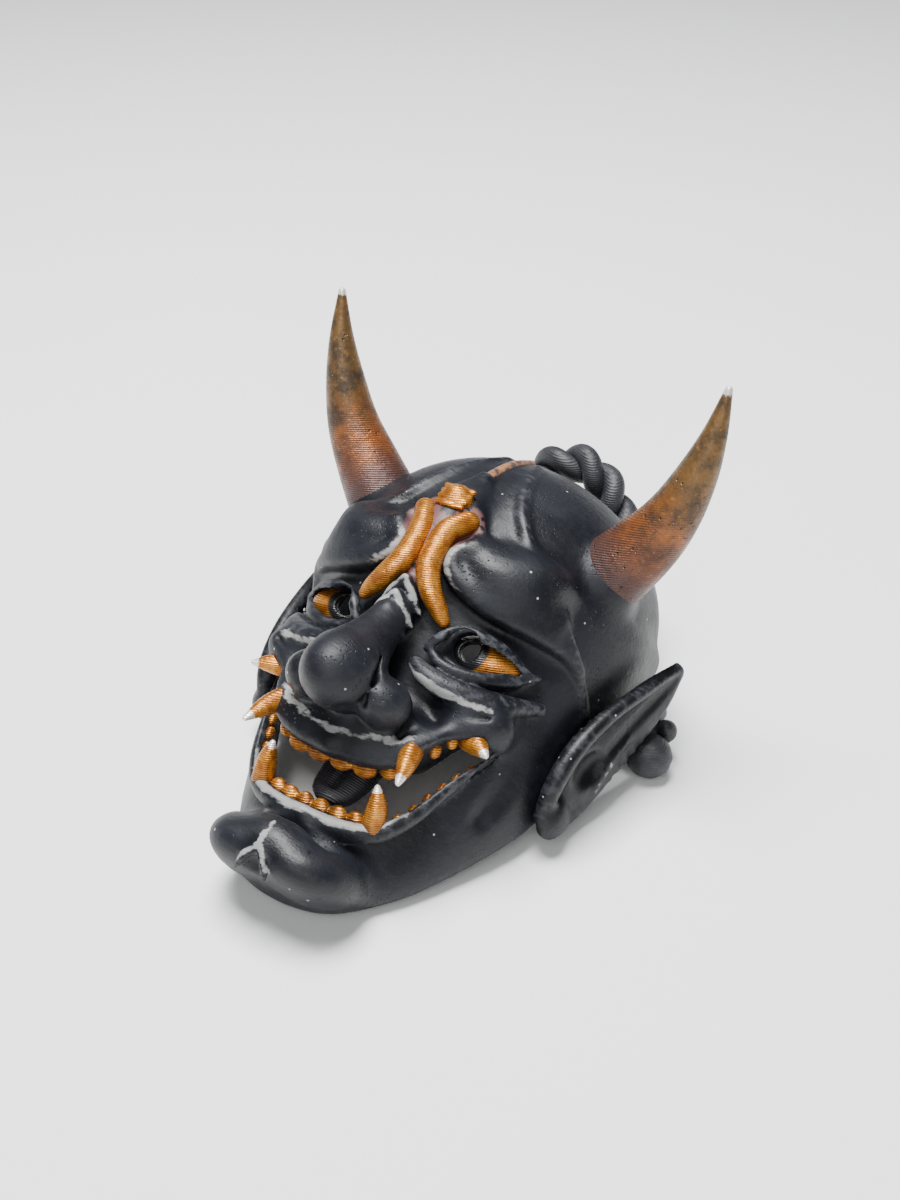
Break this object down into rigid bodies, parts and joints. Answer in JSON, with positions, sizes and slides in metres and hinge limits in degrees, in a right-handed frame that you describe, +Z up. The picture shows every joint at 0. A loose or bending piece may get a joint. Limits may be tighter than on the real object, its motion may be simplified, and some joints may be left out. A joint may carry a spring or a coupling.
{
  "type": "noh mask",
  "caption": "Small horned demon face mask with an open back, gilded brow bands, eye plates, teeth and fangs, swept-back ears and a twisted rope loop behind the crown.",
  "frame": {"origin": "on the ground, under the middle of the mask's bounding box, as it lies on its jaw and rope knobs", "axes": "+Z up, -Y towards the way the face looks, +X towards the wearer's left side; the face leans back 46.5 degrees from upright"},
  "size_m": [0.0916, 0.1246, 0.0823],
  "materials": {
    "black_paint": "matt charcoal paint, dry-brushed light grey on the edges",
    "copper_horn": "mottled copper and bronze paint, white tips",
    "gold_paint": "satin gold paint over fine layer lines",
    "gold_fang": "satin gold paint with white tips",
    "copper_line": "thin copper paint"
  },
  "bodies": {
    "root": {"face_shell": "black_paint", "horn_left": "copper_horn", "horn_right": "copper_horn", "brow_band_left": "gold_paint", "brow_band_right": "gold_paint", "brow_crest": "gold_paint", "crown_inlay": "copper_line", "eye_left": "gold_paint", "eye_right": "gold_paint", "upper_teeth": "gold_paint", "lower_teeth": "gold_paint", "side_teeth_left": "gold_paint", "side_teeth_right": "gold_paint", "tongue": "black_paint", "ear_left": "black_paint", "ear_right": "black_paint", "rope": "black_paint", "rope_knob_left": "black_paint", "rope_knob_right": "black_paint", "fang_corner_left": "gold_fang", "fang_corner_right": "gold_fang", "fang_upper_left": "gold_fang", "fang_upper_right": "gold_fang", "fang_lower_left": "gold_fang", "fang_lower_right": "gold_fang"}
  },
  "joints": []
}
